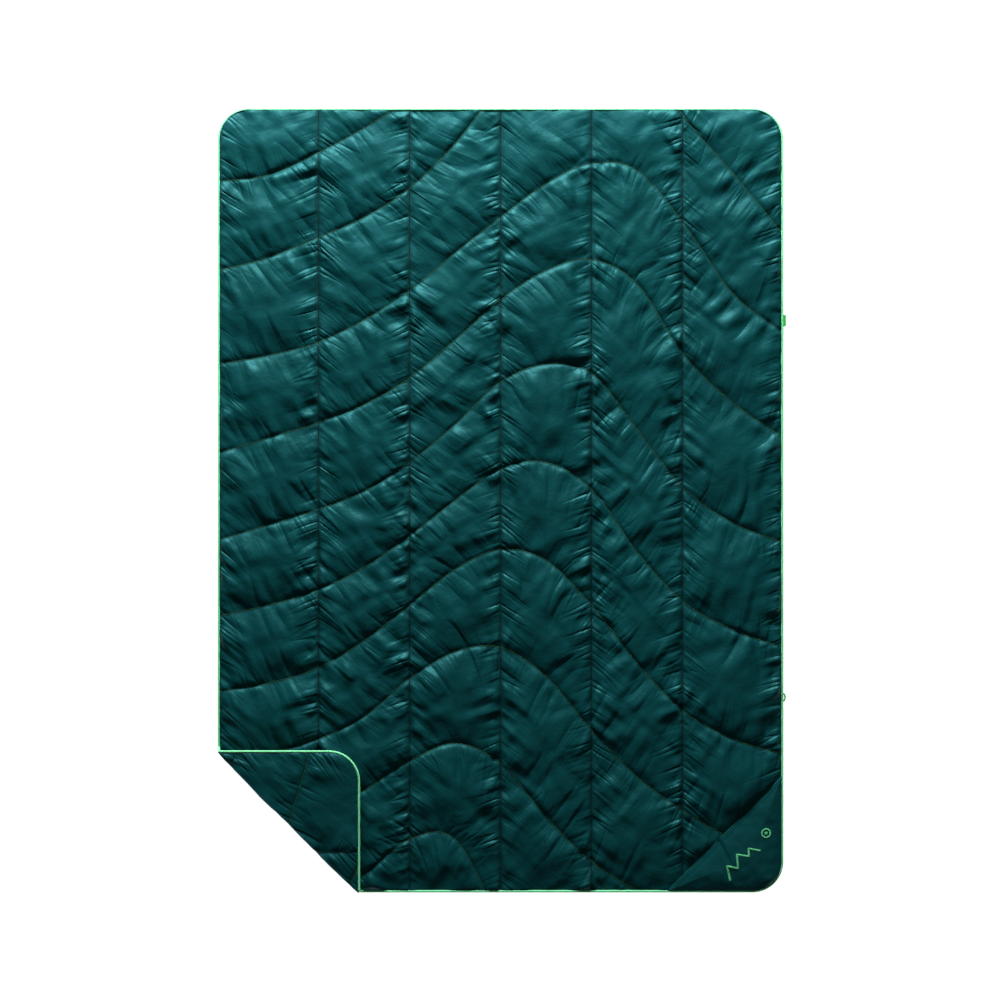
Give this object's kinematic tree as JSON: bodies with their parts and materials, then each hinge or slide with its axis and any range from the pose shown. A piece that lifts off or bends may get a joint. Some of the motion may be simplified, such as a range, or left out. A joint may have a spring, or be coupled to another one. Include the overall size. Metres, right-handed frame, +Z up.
{
  "type": "quilted camp blanket",
  "caption": "Insulated camp blanket, quilted in wavy seams, with a piped edge, a corner patch and small loops on one side; one corner lies folded over.",
  "frame": {"origin": "centre of the blanket's footprint on the surface that it lies on", "axes": "+Z up, +Y along the blanket's length towards the head end, +X towards the edge with the loops"},
  "size_m": [1.2776, 1.76, 0.056],
  "materials": {
    "face_fabric": "satin",
    "back_fabric": "satin",
    "batting": "matte",
    "piping": "matte",
    "filler_cord": "matte",
    "quilting_thread": "matte",
    "embroidery": "satin",
    "loop_webbing": "matte"
  },
  "bodies": {
    "left_half": {"back_shell_left": "back_fabric", "face_shell_left": "face_fabric", "insulation_left": "batting", "piping_cord_left": "filler_cord", "piping_cord_left_foot": "filler_cord", "piping_sleeve_left": "piping", "piping_sleeve_left_foot": "piping", "quilting_thread_left": "quilting_thread"},
    "right_half": {"back_shell_right": "back_fabric", "corner_patch": "face_fabric", "embroidered_peaks": "embroidery", "embroidered_sun": "embroidery", "face_shell_right": "face_fabric", "insulation_right": "batting", "patch_stitch_inner": "quilting_thread", "patch_stitch_outer": "quilting_thread", "piping_cord_right": "filler_cord", "piping_sleeve_right": "piping", "quilting_thread_right": "quilting_thread"},
    "corner_flap": {"back_shell_corner": "back_fabric", "face_shell_corner": "face_fabric", "insulation_corner": "batting", "piping_cord_corner": "filler_cord", "piping_sleeve_corner": "piping", "quilting_thread_1_corner": "quilting_thread", "quilting_thread_2_corner": "quilting_thread", "quilting_thread_3_corner": "quilting_thread"},
    "upper_loop": {"upper_loop": "loop_webbing"},
    "lower_loop": {"lower_loop": "loop_webbing"}
  },
  "joints": [
    {"name": "middle_fold", "type": "hinge", "parent": "left_half", "child": "right_half", "pos_m": [-0.0038, 0, 0.028], "axis": [0, -1, 0], "range_deg": [0, 172]},
    {"name": "corner_fold", "type": "hinge", "parent": "left_half", "child": "corner_flap", "pos_m": [-0.6388, -0.558, 0.028], "axis": [0.7071, -0.7071, 0], "range_deg": [0, 179.5]},
    {"name": "upper_loop_flex", "type": "hinge", "parent": "right_half", "child": "upper_loop", "pos_m": [0.6284, 0.403, 0.011], "axis": [0, -1, 0], "range_deg": [-45, 45]},
    {"name": "lower_loop_flex", "type": "hinge", "parent": "right_half", "child": "lower_loop", "pos_m": [0.6284, -0.442, 0.011], "axis": [0, -1, 0], "range_deg": [-45, 45]}
  ]
}
